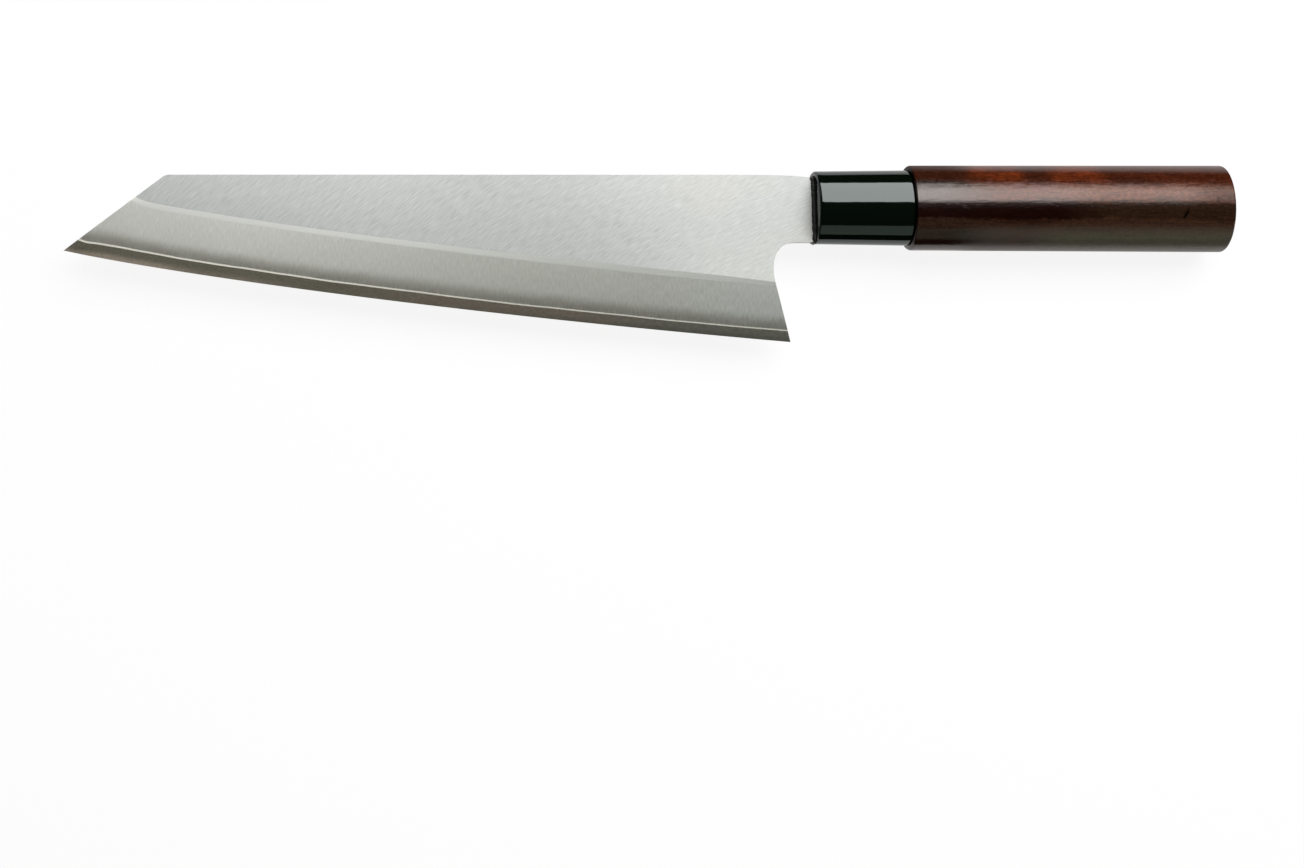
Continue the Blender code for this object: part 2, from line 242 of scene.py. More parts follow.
TABLE_SIZE = 12.0
TABLE_DROP = 0.00002
TABLE_LIFT = 0.88
table_mesh = bpy.data.meshes.new("white_table")
half_table = TABLE_SIZE / 2
signs = ((-1, -1), (1, -1), (1, 1), (-1, 1))
table_corners = [(x * half_table, y * half_table, -TABLE_DROP) for x, y in signs]
table_mesh.from_pydata(table_corners, [], [(0, 1, 2, 3)])
table = bpy.data.objects.new("white_table", table_mesh)
scene.collection.objects.link(table)
white_paint = Finish("white_table_paint", {"Base Color": (0.93, 0.93, 0.93), "Roughness": 0.9})
glow = white_paint.node("ShaderNodeEmission", values={"Color": (1, 1, 1), "Strength": 1.0})
seen = white_paint.node("ShaderNodeLightPath", out="Is Camera Ray")
for ray in ("Is Glossy Ray", "Is Transmission Ray"):
    seen = seen + white_paint.node("ShaderNodeLightPath", out=ray)
white_paint.overlay(white_paint.clamp(seen) * TABLE_LIFT, glow)
white_paint.material.cycles.emission_sampling = "NONE"
table_mesh.materials.append(white_paint.material)

air = bpy.data.worlds.new("studio_air")
air.use_nodes = True
scene.world = air
air_board = Board(air.node_tree)
lift = air_board.axis(air_board.node("ShaderNodeTexCoord", out="Generated"), "Z")
air_colour = air_board.mix(lift.rise(0.22, 0.32), (1, 1, 1), (0.014, 0.014, 0.014))
air_board.plug(air.node_tree.nodes["Background"].inputs["Color"], air_colour)


# The blade core: a thin plate of hard steel, forge-welded between two soft ones. It shows as a
# dark strip along the edge, ground fine, and as a hair line on the spine. Its rear end is the
# middle layer of the tang.
EDGE_LENGTH = 0.2096
EDGE_CLIMB = math.radians(7.8)
EDGE_TIP_ANGLE = math.radians(5.7)
EDGE_TIP_REACH = 0.0234
EDGE_HEEL_ANGLE = math.radians(2.15)
EDGE_HEEL_REACH = 0.1127
HEEL = Vector((-0.0085, -0.0407))
SPINE_HEIGHT = 0.0097
SPINE_FALL = math.radians(0.39)
SPINE_EASE_LENGTH = 0.0166
SPINE_EASE_DROP = 0.0007
CLIP_ANGLE = math.radians(37.2)
CLIP_CORNER_RADIUS = 0.0033
NECK_DEPTH = 0.01055
CHOIL_ANGLE = math.radians(14.4)
CHOIL_NECK_LENGTH = 0.0056
CHOIL_NECK_REACH = 0.0085
CHOIL_CUT_REACH = 0.0050
BEVEL_WIDTH = 0.0171
CORE_THICKNESS = 0.0008
TANG_LENGTH = 0.0960
TANG_ROOT_HEIGHT = 0.0100
TANG_END_HEIGHT = 0.0060
SHOULDER_X = -0.0003
STRIP_WIDTH = 0.0031
STRIP_TIP_GAIN = 0.00075
STRIP_WAIST = 0.00015
STRIP_DIP_DEPTH = 0.00041
STRIP_DIP_SHARE = 0.070
STRIP_DIP_REACH = 0.028
STRIP_WAVES = ((0.00005, 31, 1.7), (0.00003, 83, 1.0))
ROW_STEPS = 180
CURVE_STEPS = 16


def blend(start, end, share):
    return start + (end - start) * share


def cubic(poles, share):
    rest = 1 - share
    near = poles[0] * rest**3 + poles[1] * (3 * rest**2 * share)
    return near + poles[2] * (3 * rest * share**2) + poles[3] * share**3


def direction(angle):
    return Vector((math.cos(angle), math.sin(angle)))


TIP = HEEL - direction(-EDGE_CLIMB) * EDGE_LENGTH
EDGE_POLES = (
    TIP,
    TIP + direction(-EDGE_CLIMB - EDGE_TIP_ANGLE) * EDGE_TIP_REACH,
    HEEL - direction(-EDGE_CLIMB + EDGE_HEEL_ANGLE) * EDGE_HEEL_REACH,
    HEEL,
)
CHOIL_DIRECTION = direction(math.pi / 2 + CHOIL_ANGLE)


def edge_point(share):
    return cubic(EDGE_POLES, share)


def offset_point(share, width):
    """The point this far from the edge, square to it, at a share of the edge from the tip."""
    step = 1e-4
    along = (edge_point(share + step) - edge_point(share - step)).normalized()
    return edge_point(share) + Vector((-along.y, along.x)) * width(share)


def cut_share(width, cut_x):
    """The share at which the row of this width meets a cut whose x is known at each height."""

    def is_before(share):
        point = offset_point(share, width)
        return point.x < cut_x(point.y)

    low, high = 0.0, 1.0
    at_low = is_before(low)
    for _ in range(40):
        middle = (low + high) / 2
        if is_before(middle) == at_low:
            low = middle
        else:
            high = middle
    return (low + high) / 2


def clip_x(y):
    return TIP.x + (y - TIP.y) / math.tan(CLIP_ANGLE)


def straight_choil_x(y):
    return HEEL.x - (y - HEEL.y) * math.tan(CHOIL_ANGLE)


def plain_bevel(share):
    return BEVEL_WIDTH


def choil_curve():
    """The choil from the neck's underside down to the top of its straight cut."""
    cut_top = offset_point(cut_share(plain_bevel, straight_choil_x), plain_bevel)
    neck = Vector((-CHOIL_NECK_LENGTH, -NECK_DEPTH))
    reach = cut_top + CHOIL_DIRECTION * CHOIL_CUT_REACH
    poles = (neck, neck - Vector((CHOIL_NECK_REACH, 0)), reach, cut_top)
    return [cubic(poles, step / CURVE_STEPS) for step in range(CURVE_STEPS + 1)]


CHOIL_CURVE = choil_curve()


def choil_x(y):
    """Where the choil is at a height: its straight cut, then its curve."""
    for upper, lower in zip(CHOIL_CURVE, CHOIL_CURVE[1:]):
        if lower.y <= y < upper.y:
            return blend(lower.x, upper.x, (y - lower.y) / (upper.y - lower.y))
    return straight_choil_x(y)


def grind_row(width):
    """Shares and points of one row along the blade, from the clipped tip to the choil."""
    first = cut_share(width, clip_x)
    last = cut_share(width, choil_x)
    shares = [blend(first, last, step / ROW_STEPS) for step in range(ROW_STEPS + 1)]
    return [(share, offset_point(share, width)) for share in shares]


def weld_width(share):
    """The strip of bare core, which widens towards the tip and dips where the clip begins."""
    dip = STRIP_DIP_DEPTH * math.exp(-((share - STRIP_DIP_SHARE) / STRIP_DIP_REACH) ** 2)
    wander = sum(depth * math.sin(turns * share + start) for depth, turns, start in STRIP_WAVES)
    waist = STRIP_WAIST * math.sin(math.pi * share)
    return STRIP_WIDTH + STRIP_TIP_GAIN * (1 - share) ** 2 - waist - dip + wander


def spine_height(x):
    """The spine's straight run, then its eased drop to the ferrule."""
    start = SHOULDER_X - SPINE_EASE_LENGTH
    if x > start:
        return SPINE_HEIGHT - SPINE_EASE_DROP * ((x - start) / SPINE_EASE_LENGTH) ** 2
    return SPINE_HEIGHT + (x - start) * math.tan(SPINE_FALL)


def clip_corner():
    """The rounded corner between the clipped tip and the spine."""
    slope = math.tan(SPINE_FALL)
    reach = (spine_height(TIP.x) - TIP.y) / (math.tan(CLIP_ANGLE) - slope)
    corner = TIP + Vector((reach, reach * math.tan(CLIP_ANGLE)))
    setback = CLIP_CORNER_RADIUS * math.tan((CLIP_ANGLE - SPINE_FALL) / 2)
    start = corner - direction(CLIP_ANGLE) * setback
    centre = start + direction(CLIP_ANGLE - math.pi / 2) * CLIP_CORNER_RADIUS
    turns = [blend(CLIP_ANGLE, SPINE_FALL, step / CURVE_STEPS) for step in range(CURVE_STEPS + 1)]
    return [centre + direction(turn + math.pi / 2) * CLIP_CORNER_RADIUS for turn in turns]


def spine_line():
    start = SHOULDER_X - SPINE_EASE_LENGTH
    places = [blend(start, SHOULDER_X, step / CURVE_STEPS) for step in range(CURVE_STEPS + 1)]
    return [Vector((x, spine_height(x))) for x in places]


TANG_PART = [
    Vector((SHOULDER_X, TANG_ROOT_HEIGHT / 2)),
    Vector((TANG_LENGTH, TANG_END_HEIGHT / 2)),
    Vector((TANG_LENGTH, -TANG_END_HEIGHT / 2)),
    Vector((SHOULDER_X, -TANG_ROOT_HEIGHT / 2)),
]
BACK_PART = clip_corner() + spine_line()
NECK_CORNER = Vector((SHOULDER_X, -NECK_DEPTH))
WELD_ROW = grind_row(weld_width)
EDGE_ROW = [(step / ROW_STEPS, edge_point(step / ROW_STEPS)) for step in range(ROW_STEPS + 1)]


class Plate:
    """One steel layer while it is built. Its UV map holds each point's place in the grinding:
    the run along the edge in metres, and the climb, which counts 1 for each ground zone."""

    def __init__(self, name):
        self.name = name
        self.bm = bmesh.new()
        self.grind = self.bm.loops.layers.uv.new("grind")
        self.places = {}

    def vert(self, point, height, run=0.0, climb=0.0):
        made = self.bm.verts.new((point.x, point.y, height))
        self.places[made] = (run, climb)
        return made

    def row(self, row, height, climb):
        return [self.vert(point, height(share), share * EDGE_LENGTH, climb) for share, point in row]

    def face(self, verts, climb=None):
        """A face whose corners keep their place in the grinding, or all share one climb."""
        made = self.bm.faces.new(verts)
        made.smooth = True
        for loop in made.loops:
            run, own_climb = self.places[loop.vert]
            loop[self.grind].uv = (run, own_climb if climb is None else climb)

    def strip(self, lower, upper):
        for index in range(len(lower) - 1):
            self.face((lower[index], lower[index + 1], upper[index + 1], upper[index]))

    def crease(self, rows):
        """Marks the edges between neighbours in these rows as ground sharp."""
        for row in rows:
            for first, second in zip(row, row[1:]):
                edge = self.bm.edges.get((first, second))
                if edge:
                    edge.smooth = False

    def ease(self, outline, width):
        """Takes the sharpness off an outline, as a maker does with a file."""
        edges = [self.bm.edges.get(pair) for pair in zip(outline, outline[1:])]
        bmesh.ops.bevel(
            self.bm,
            geom=edges,
            offset=width,
            offset_type="OFFSET",
            segments=2,
            profile=0.5,
            affect="EDGES",
        )

    def finish(self, material, node, slot):
        bmesh.ops.recalc_face_normals(self.bm, faces=self.bm.faces)
        for edge in self.bm.edges:
            if edge.calc_face_angle(math.pi) > SHARP_TURN:
                edge.smooth = False
        mesh = bpy.data.meshes.new(self.name)
        self.bm.to_mesh(mesh)
        self.bm.free()
        return add_piece(self.name, mesh, material, node)


def add_piece(name, mesh, material, node):
    mesh.transform(KNIFE_PLACE)
    if material:
        mesh.materials.clear()
        mesh.materials.append(material)
    piece = bpy.data.objects.new(name, mesh)
    scene.collection.objects.link(piece)
    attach(piece, "root")
    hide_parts(node)
    return piece


WALL_CLIMB = 6.0
SHARP_TURN = math.radians(12)

CORE_TIP_GREY = (0.415, 0.385, 0.297)
CORE_GREY = (0.425, 0.375, 0.292)
CORE_MIDDLE_GREY = (0.470, 0.405, 0.325)
CORE_HEEL_GREY = (0.390, 0.387, 0.325)
CORE_BROWN = (0.92, 0.78, 0.63)
CORE_DARK_EDGE = (0.232, 0.228, 0.192)
CORE_WALL_GREY = (0.42, 0.42, 0.41)
CORE_BRIGHT_STREAK = (0.45, 0.44, 0.41)


def streaks(finish, run, climb, along, up, detail, roughness=0.6):
    """A pattern of grinding marks, with this many waves to a metre along and to a zone up."""
    return finish.noise(finish.vector(X=run * along, Y=climb * up), 1.0, detail, roughness)


core_steel = Finish("fine_ground_core_steel", {"Metallic": 1.0})
core_place = core_steel.node("ShaderNodeUVMap", {"uv_map": "grind"})
core_run, core_climb = (core_steel.axis(core_place, name) for name in "XY")
core_streaks = streaks(core_steel, core_run, core_climb, 2600, 2, 3.0)
core_stain = streaks(core_steel, core_run, core_climb, 90, 1.2, 4.0)
core_mottle = streaks(core_steel, core_run, core_climb, 900, 5, 4.0, 0.65)
tip_end = 1 - core_run.rise(0.008, 0.022)
near_edge = 1 - (core_climb + tip_end * 0.15).rise(0.08, 0.62)
brown = 1 - core_run.rise(0.050, 0.066) * 0.6 - core_run.rise(0.075, 0.105) * 0.4
brown = near_edge * brown * core_stain.rise(0.20, 0.42)
core_colour = core_steel.mix(core_run.rise(0.060, 0.170), CORE_TIP_GREY, CORE_GREY)
core_colour = core_steel.mix(core_run.rise(0.105, 0.140), core_colour, CORE_MIDDLE_GREY)
core_colour = core_steel.mix(core_run.rise(0.165, 0.190), core_colour, CORE_HEEL_GREY)
core_colour = core_steel.mix(brown, core_colour, CORE_BROWN)
core_colour = core_steel.shade(core_colour, 0.60 + core_mottle * 0.80)
dark_edge = near_edge * core_run.rise(0.120, 0.180) * 0.5
core_colour = core_steel.mix(dark_edge, core_colour, CORE_DARK_EDGE)
core_colour = core_steel.mix(core_climb.rise(1.2, 2.0), core_colour, CORE_WALL_GREY)
bright_streak = core_streaks.rise(0.55, 0.9) * 0.3
core_colour = core_steel.mix(bright_streak, core_colour, CORE_BRIGHT_STREAK)
core_steel.feed({"Base Color": core_colour, "Roughness": 0.28 + core_streaks * 0.12})
core_steel.relief(core_streaks, 0.000004)

core = Plate("core_plate")
CORE_HALF = CORE_THICKNESS / 2
rim = BACK_PART + TANG_PART + [NECK_CORNER] + CHOIL_CURVE
edge_verts = core.row(EDGE_ROW, lambda share: 0.0, 0.0)
core_rims = []
for side in (1, -1):
    weld_verts = core.row(WELD_ROW, lambda share: side * CORE_HALF, 1.0)
    rim_verts = [core.vert(point, side * CORE_HALF, 0.0, WALL_CLIMB) for point in rim]
    core.face(weld_verts + rim_verts[::-1], WALL_CLIMB)
    core.strip(edge_verts, weld_verts)
    core.crease([weld_verts])
    core_rims.append([weld_verts[0]] + rim_verts + [weld_verts[-1]])
for index in range(len(rim) + 1):
    (left, left_next), (right, right_next) = (side[index:index + 2] for side in core_rims)
    core.face((left, left_next, right_next, right), WALL_CLIMB)
for end in (0, -1):
    core.face((core_rims[0][end], core_rims[1][end], edge_verts[end]), WALL_CLIMB)
core.crease([edge_verts])
core.finish(core_steel.material, "blade_core", "core_steel")


# The claddings: soft steel on both sides of the core. The flat is brushed with slanting
# scratches, a narrow band leads over to the bevel, and the bevel is stone-ground square to the
# edge. It turns dark and hazy above the bright line of the weld.
NECK_THICKNESS = 0.0032
CORNER_THICKNESS = 0.0020
FLAT_THINNING = 0.0003
TANG_END_THICKNESS = 0.0022
WELD_LINE_CLIMB = 0.0005 / 0.0120
BEVEL_CLIMBS = (0.0, WELD_LINE_CLIMB, 0.18, 0.36, 0.68, 1.0)
BAND_CLIMB = 2.0
FLAT_CLIMB = 3.0
FLAT_RUN = 0.1
BEVEL_BOW = 0.10
BAND_BOTTOM = 0.0159
BAND_BOTTOM_GAIN = 0.0003
BAND_TOP = 0.01735
BAND_HEEL_GAIN = 0.0006
BAND_END_LOSS = 0.0005
FLICK_HEIGHT = 0.0012
FLICK_START = 0.165
FLICK_REACH = 0.018
EASED_EDGE = 0.00012
BEVEL_TOP_Y = offset_point(cut_share(plain_bevel, straight_choil_x), plain_bevel).y
LENGTH_TAPER = (NECK_THICKNESS - CORNER_THICKNESS) / 2 / (SHOULDER_X - BACK_PART[0].x)
DEPTH_TAPER = FLAT_THINNING / 2 / (SPINE_HEIGHT - BEVEL_TOP_Y)
TANG_TAPER = (NECK_THICKNESS - TANG_END_THICKNESS) / 2 / (TANG_LENGTH - SHOULDER_X)


def flat_height(point):
    """Half the blade's thickness on its flat, or the tang's behind the shoulder."""
    behind = point.x - SHOULDER_X
    height = NECK_THICKNESS / 2 - (SPINE_HEIGHT - point.y) * DEPTH_TAPER
    return height - behind * TANG_TAPER if behind > 0 else height + behind * LENGTH_TAPER


def clip_flick(share):
    """The bevel's upper lines sweep up a little where they reach the clipped end."""
    return FLICK_HEIGHT * math.exp(-max(share - FLICK_START, 0) / FLICK_REACH)


def band_bottom(share):
    return BAND_BOTTOM + BAND_BOTTOM_GAIN * share + clip_flick(share)


def band_top(share):
    gain = BAND_HEEL_GAIN * min(max((share - 0.45) / 0.35, 0), 1)
    return BAND_TOP + gain - BAND_END_LOSS * max((share - 0.93) / 0.07, 0) + clip_flick(share)


def bevel_height(share, width):
    """Height of the bevel above the core's face, bowed out a little between its lines."""
    full = flat_height(offset_point(share, plain_bevel)) - CORE_HALF
    climb = (width - weld_width(share)) / (BEVEL_WIDTH - weld_width(share))
    return CORE_HALF + full * (climb + BEVEL_BOW * climb * (1 - climb))


def bevel_widths(climb):
    """The row that lies at this share of the way from the weld up to the band."""
    return lambda share: blend(weld_width(share), band_bottom(share), climb)


def cladding(name, side, material, node):
    """The layer on one side: the bevel's rows, the flat, the tang and the walls round them."""
    plate = Plate(name)

    def flat_verts(points):
        heights = [side * flat_height(point) for point in points]
        return [plate.vert(*pair, FLAT_RUN, FLAT_CLIMB) for pair in zip(points, heights)]

    rows = []
    for climb in BEVEL_CLIMBS:
        width = bevel_widths(climb)
        heights = lambda share: side * bevel_height(share, width(share))
        rows.append(plate.row(grind_row(width), heights, climb))
    top_row = grind_row(band_top)
    heights = lambda share: side * flat_height(offset_point(share, band_top))
    rows.append(plate.row(top_row, heights, BAND_CLIMB))
    for lower, upper in zip(rows, rows[1:]):
        plate.strip(lower, upper)
    plate.crease([rows[1], rows[-2], rows[-1]])
    upper_choil = [point for point in CHOIL_CURVE if point.y > top_row[-1][1].y + 1e-5]
    blade_back = flat_verts(BACK_PART)
    tang = flat_verts(TANG_PART)
    neck = flat_verts([NECK_CORNER] + upper_choil)
    plate.face(rows[-1] + neck[::-1] + [tang[3], tang[0]] + blade_back[::-1])
    plate.face(tang)
    outline = [row[0] for row in rows] + blade_back + tang + neck + [row[-1] for row in rows[::-1]]
    inner = [outline[0]]
    inner += [plate.vert(vert.co, side * CORE_HALF) for vert in outline[1:-1]]
    inner.append(outline[-1])
    last = len(outline) - 1
    for index in range(last):
        wall = [outline[index], outline[index + 1], inner[index + 1], inner[index]]
        plate.face(list(dict.fromkeys(wall)), WALL_CLIMB)
    plate.face(rows[0] + inner[1:-1][::-1], WALL_CLIMB)
    plate.ease([row[0] for row in rows[1:]] + blade_back, EASED_EDGE)
    plate.finish(material, node, "clad_steel")


FLAT_COOL, FLAT_WARM = (0.436, 0.450, 0.442), (0.450, 0.453, 0.434)
# The flat's painted shade and painted highlight colours, which stand in for the soft box's
# reflection.
FLAT_PAINTED_SHADE = (0.387, 0.397, 0.384)
FLAT_MIDDLE_PAINTED_SHADE = (0.355, 0.365, 0.352)
FLAT_HEEL_PAINTED_HIGHLIGHT = (0.482, 0.489, 0.466)
BEVEL_COOL, BEVEL_WARM = (0.568, 0.572, 0.533), (0.582, 0.585, 0.543)
# The heel colours of the bevel, the band and the weld line are painted shade, darker than at the
# tip to stand in for their reflection.
BEVEL_HEEL = (0.457, 0.466, 0.424)
BEVEL_HEEL_END = (0.495, 0.512, 0.475)
HAZE_GREY = (0.326, 0.322, 0.280)
BAND_TIP, BAND_HEEL = (0.618, 0.624, 0.592), (0.445, 0.452, 0.424)
WELD_TIP, WELD_HEEL = (0.702, 0.690, 0.615), (0.582, 0.572, 0.505)

clad_steel = Finish("brushed_cladding_steel", {"Metallic": 1.0})
clad_place = clad_steel.node("ShaderNodeUVMap", {"uv_map": "grind"})
run, climb = (clad_steel.axis(clad_place, name) for name in "XY")
metres = clad_steel.object_place()
knife_x = clad_steel.axis(metres, "X") - KNIFE_PLACE.translation.x
knife_y = clad_steel.axis(metres, "Y") - KNIFE_PLACE.translation.y


def scratches(angle, length, width):
    """Fine marks at an angle to the handle's axis, which fan out a little towards the tip."""
    fan = clad_steel.vector(Z=math.radians(angle) - knife_x * 1.1)
    values = {"Vector": metres, "Rotation": fan, "Scale": (length, width, 1)}
    turned = clad_steel.node("ShaderNodeMapping", {"vector_type": "TEXTURE"}, values)
    return clad_steel.noise(turned, 1.0, 3.0, 0.55)


flat_scratches = scratches(34, 0.0030, 0.00022) * 0.5 + scratches(26, 0.0044, 0.00032) * 0.5
stone_streaks = streaks(clad_steel, run, climb, 3600, 6.0, 3.0)
haze_edge = streaks(clad_steel, run, climb, 1500, 1.5, 4.0, 0.65)
haze_patches = streaks(clad_steel, run, climb, 110, 3.0, 3.0)
patches = clad_steel.noise(metres, 45.0, 2.0, 0.5).rise(0.35, 0.65)

on_flat = climb.rise(1.97, 2.0)
on_band = climb.rise(0.975, 1.0) - on_flat
haze = 1 - (climb + (haze_edge - 0.5) * 0.08).rise(0.06, 0.40)
haze = haze * (0.70 + haze_patches * 0.60) * (1 - run.rise(0.185, 0.205) * 0.12)
weld_line = 1 - (climb + run.rise(0.080, 0.180) * 0.008).rise(0.030, 0.046)
# Painted shade: the bevel and the weld line are painted darker towards the heel, standing in for
# the bevel's reflection. The bevel turns a little lighter again at the heel's very end.
heel_painted_shade = run.rise(0.070, 0.160)
# Painted light on the flat, standing in for the soft box's reflection: painted shade towards the
# tip, strongest towards the edge; a painted highlight at the heel, low on the flat; and painted
# shade across the middle of the length.
tip_edge_painted_shade = (1 - knife_x.rise(-0.070, -0.028)) * (1 - knife_y.rise(-0.010, 0.010) * 0.6)
heel_painted_highlight = knife_x.rise(-0.055, -0.020) * (1 - knife_y.rise(-0.022, -0.002))
middle_painted_shade = knife_x.rise(-0.140, -0.095) - knife_x.rise(-0.085, -0.055)

# The flat's colour, with its painted shade and painted highlight mixed in.
flat_colour = clad_steel.mix(patches, FLAT_COOL, FLAT_WARM)
flat_colour = clad_steel.mix(tip_edge_painted_shade, flat_colour, FLAT_PAINTED_SHADE)
flat_colour = clad_steel.mix(middle_painted_shade * 0.55, flat_colour, FLAT_MIDDLE_PAINTED_SHADE)
flat_colour = clad_steel.mix(heel_painted_highlight, flat_colour, FLAT_HEEL_PAINTED_HIGHLIGHT)
bevel_colour = clad_steel.mix(patches, BEVEL_COOL, BEVEL_WARM)
bevel_colour = clad_steel.mix(heel_painted_shade, bevel_colour, BEVEL_HEEL)
bevel_colour = clad_steel.mix(run.rise(0.178, 0.205), bevel_colour, BEVEL_HEEL_END)
bevel_colour = clad_steel.mix(haze, bevel_colour, HAZE_GREY)
# Painted light on the band: lighter at the tip and darker towards the heel, standing in for its
# reflection.
band_colour = clad_steel.mix(run.rise(0.090, 0.180), BAND_TIP, BAND_HEEL)
weld_colour = clad_steel.mix(heel_painted_shade, WELD_TIP, WELD_HEEL)
steel_colour = clad_steel.mix(on_flat, bevel_colour, flat_colour)
steel_colour = clad_steel.mix(on_band, steel_colour, band_colour)
steel_colour = clad_steel.mix(weld_line, steel_colour, weld_colour)
mark_height = stone_streaks * (1 - on_flat) + flat_scratches * on_flat
mark_depth = 0.55 + on_flat * 0.55
steel_colour = clad_steel.shade(steel_colour, 1 + (mark_height - 0.5) * mark_depth)
ground_roughness = 0.42 + on_flat * 0.10 - haze * 0.05 + weld_line * 0.15
ground_roughness = ground_roughness + (mark_height - 0.5) * 0.08
clad_steel.feed({"Base Color": steel_colour, "Roughness": ground_roughness})
clad_steel.relief(mark_height, 0.000003)

cladding("cladding_plate_left", 1, clad_steel.material, "cladding_left")
cladding("cladding_plate_right", -1, clad_steel.material, "cladding_right")


# The tang bedding: cured resin that fills the room round the tang inside the wood and ferrule.
# It is out of sight, so the frame's own solid stays and only gets its finish.
bedding_resin = Finish("cured_bedding_resin", {"Roughness": 0.42, "Specular IOR Level": 0.5})
bedding_clouds = bedding_resin.noise(bedding_resin.object_place(), 400.0, 4.0)
bedding_colour = bedding_resin.mix(bedding_clouds, (0.26, 0.20, 0.11), (0.36, 0.30, 0.19))
bedding_resin.feed({"Base Color": bedding_colour})
bedding_resin.relief(bedding_clouds, 0.00005)
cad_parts["tang_bedding"].material_slots[0].material = bedding_resin.material


# The neck seal: black resin squeezed out where the neck enters the ferrule and left as a thin
# ragged bead, heaviest on the spine's side.
SEAL_STATIONS = 220
SEAL_FACE_REACH = 0.00060
SEAL_NECK_REACH = 0.00095
SEAL_TOP_REACH = 0.00035
SEAL_WAVES = ((700, 0.22), (2400, 0.18))
SEAL_SINK = 0.00002
SEAL_ROOT = 0.0002
SEAL_LIP = 0.00004

resin = Finish("black_seal_resin", {"Specular IOR Level": 0.4})
resin_bumps = resin.noise(resin.object_place(), 1800.0, 4.0, 0.6)
resin_colour = resin.mix(resin_bumps, (0.002, 0.002, 0.002), (0.010, 0.010, 0.009))
resin.feed({"Base Color": resin_colour, "Roughness": 0.30 + resin_bumps * 0.3})
resin.relief(resin_bumps, 0.00004)


def neck_station(share):
    """A point on the neck's outline at the ferrule and the way out from it."""
    top = spine_height(SHOULDER_X)
    half = NECK_THICKNESS / 2
    height = top + NECK_DEPTH
    around = share * 2 * (height + 2 * half)
    if around < height:
        return Vector((0, top - around, half)), Vector((0, 0, 1))
    around -= height
    if around < 2 * half:
        return Vector((0, -NECK_DEPTH, half - around)), Vector((0, -1, 0))
    around -= 2 * half
    if around < height:
        return Vector((0, -NECK_DEPTH + around, -half)), Vector((0, 0, -1))
    return Vector((0, top, -half + around - height)), Vector((0, 1, 0))


def seal_bead():
    """A ring of loops round the neck, each one a small hump from the neck to the ferrule."""
    bm = bmesh.new()
    loops = []
    for station in range(SEAL_STATIONS):
        place, out = neck_station(station / SEAL_STATIONS)
        ragged = sum(noise.noise(place * waves) * depth for waves, depth in SEAL_WAVES)
        near_spine = max(0.0, (place.y - 0.003) / 0.006) ** 2
        forward = (SEAL_NECK_REACH + min(near_spine, 1) * SEAL_TOP_REACH) * (1 + ragged)
        outward = SEAL_FACE_REACH * (1 + ragged)
        hump = (
            (SEAL_SINK, -SEAL_ROOT),
            (-forward, -SEAL_ROOT / 2),
            (-forward, SEAL_LIP),
            (-forward * 0.85, outward * 0.20),
            (-forward * 0.45, outward * 0.55),
            (SEAL_SINK, outward),
        )
        loops.append([bm.verts.new(place + Vector((x, 0, 0)) + out * rise) for x, rise in hump])
    for index, loop in enumerate(loops):
        following = loops[(index + 1) % len(loops)]
        for corner in range(len(loop)):
            after = (corner + 1) % len(loop)
            verts = loop[corner], loop[after], following[after], following[corner]
            bm.faces.new(verts).smooth = True
    bmesh.ops.recalc_face_normals(bm, faces=bm.faces)
    mesh = bpy.data.meshes.new("seal_bead")
    bm.to_mesh(mesh)
    bm.free()
    return mesh


add_piece("seal_bead", seal_bead(), resin.material, "neck_seal")


# The ferrule: a glossy black cap turned to the same oval as the wood, a step smaller, with a
# slot for the tang in its front and a bore for the wood's spigot behind. Its rims are rounded.
HANDLE_FLATTENING = 0.66
FERRULE_LENGTH = 0.0305
FERRULE_FRONT_HEIGHT = 0.0221
FERRULE_REAR_HEIGHT = 0.0232
FERRULE_FRONT_WALL = 0.0080
FERRULE_SIDE_WALL = 0.0027
FERRULE_FRONT_ROUNDING = 0.0009
FERRULE_REAR_ROUNDING = 0.0006
FIT_GAP = 0.0003
OVAL_SIDES = 192
RIM_STEPS = 8
BODY_STEPS = 24
FACE_RING = 0.00006
CREASE_ANGLE = math.radians(30)


